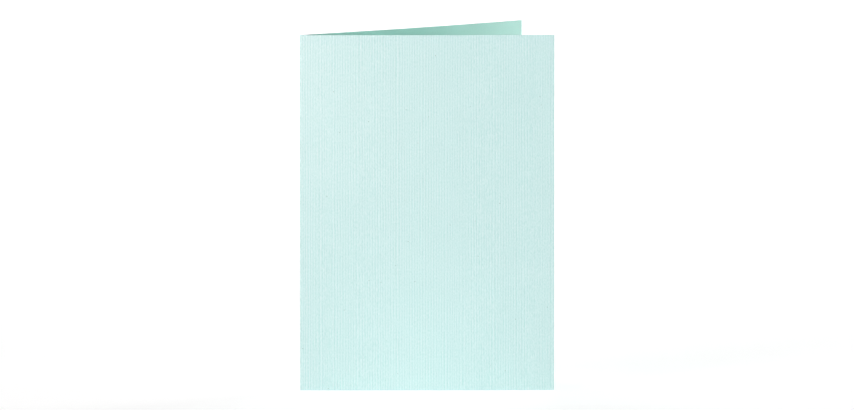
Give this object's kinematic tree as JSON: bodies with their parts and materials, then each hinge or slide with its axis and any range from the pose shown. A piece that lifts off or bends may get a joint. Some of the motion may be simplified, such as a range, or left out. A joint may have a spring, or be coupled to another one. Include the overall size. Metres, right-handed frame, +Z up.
{
  "type": "greeting card",
  "caption": "Blank folded greeting card of fine-ribbed board, standing part open on its lower edge.",
  "frame": {"origin": "at the foot of the card, in the middle of the box round it", "axes": "+Z up along the fold, +X from the fold along the front panel to its free edge, front panel facing -Y"},
  "size_m": [0.105, 0.051, 0.148],
  "materials": {
    "ribbed_board": "uncoated and matt, pale mint, embossed with fine upright ribs outside and smooth inside"
  },
  "bodies": {
    "root": {"folded_card": "ribbed_board"}
  },
  "joints": []
}
